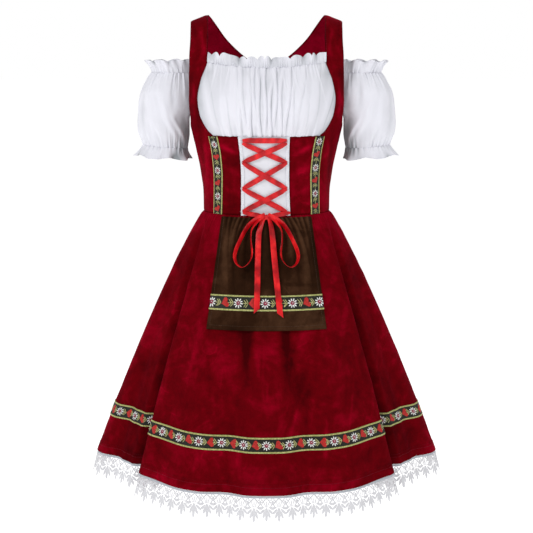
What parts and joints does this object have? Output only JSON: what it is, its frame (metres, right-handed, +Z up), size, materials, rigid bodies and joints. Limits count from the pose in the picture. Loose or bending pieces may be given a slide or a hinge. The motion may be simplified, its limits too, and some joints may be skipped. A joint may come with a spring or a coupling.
{
  "type": "dirndl",
  "caption": "Laced velvet dirndl with a flared skirt, gathered bust insert, off-shoulder puff sleeves, small apron, woven trims and a lace hem.",
  "frame": {"origin": "midway between the two shoulder straps, level with where they rest on the shoulders beside the neck", "axes": "+Z up from hem to shoulders, -Y out of the front, +X to the wearer's left"},
  "size_m": [0.7086, 0.5122, 0.9437],
  "materials": {
    "velvet": "crushed velvet pile, crimson",
    "white_cotton": "fine crepe weave, white",
    "brown_velvet": "short velvet pile, dark brown",
    "woven_trim": "woven ribbon with embroidered flowers and hearts",
    "red_satin": "satin ribbon, red",
    "lace": "thick corded lace, white"
  },
  "bodies": {
    "root": {"bodice_side_front_left": "velvet", "bodice_side_front_right": "velvet", "bodice_centre_front_left": "velvet", "bodice_centre_front_right": "velvet", "bodice_back_left": "velvet", "bodice_back_right": "velvet", "skirt_front": "velvet", "skirt_back": "velvet", "trim_bodice_left": "woven_trim", "trim_bodice_right": "woven_trim", "trim_hem_front": "woven_trim", "trim_hem_back": "woven_trim", "trim_apron": "woven_trim", "lacing_panel": "white_cotton", "lacing_binding_left": "white_cotton", "lacing_binding_right": "white_cotton", "bust_insert": "white_cotton", "bust_frill": "white_cotton", "sleeve_left": "white_cotton", "sleeve_right": "white_cotton", "sleeve_top_frill_left": "white_cotton", "sleeve_top_frill_right": "white_cotton", "sleeve_cuff_frill_left": "white_cotton", "sleeve_cuff_frill_right": "white_cotton", "apron": "brown_velvet", "lace_front": "lace", "lace_back_left": "lace", "lace_back_right": "lace", "lacing_bar": "red_satin", "lacing_left_1": "red_satin", "lacing_right_1": "red_satin", "lacing_left_2": "red_satin", "lacing_right_2": "red_satin", "lacing_left_3": "red_satin", "lacing_right_3": "red_satin", "lacing_tie_left": "red_satin", "lacing_tie_right": "red_satin", "bow_knot": "red_satin", "bow_loop_left": "red_satin", "bow_loop_right": "red_satin", "bow_end_left": "red_satin", "bow_end_right": "red_satin"}
  },
  "joints": []
}
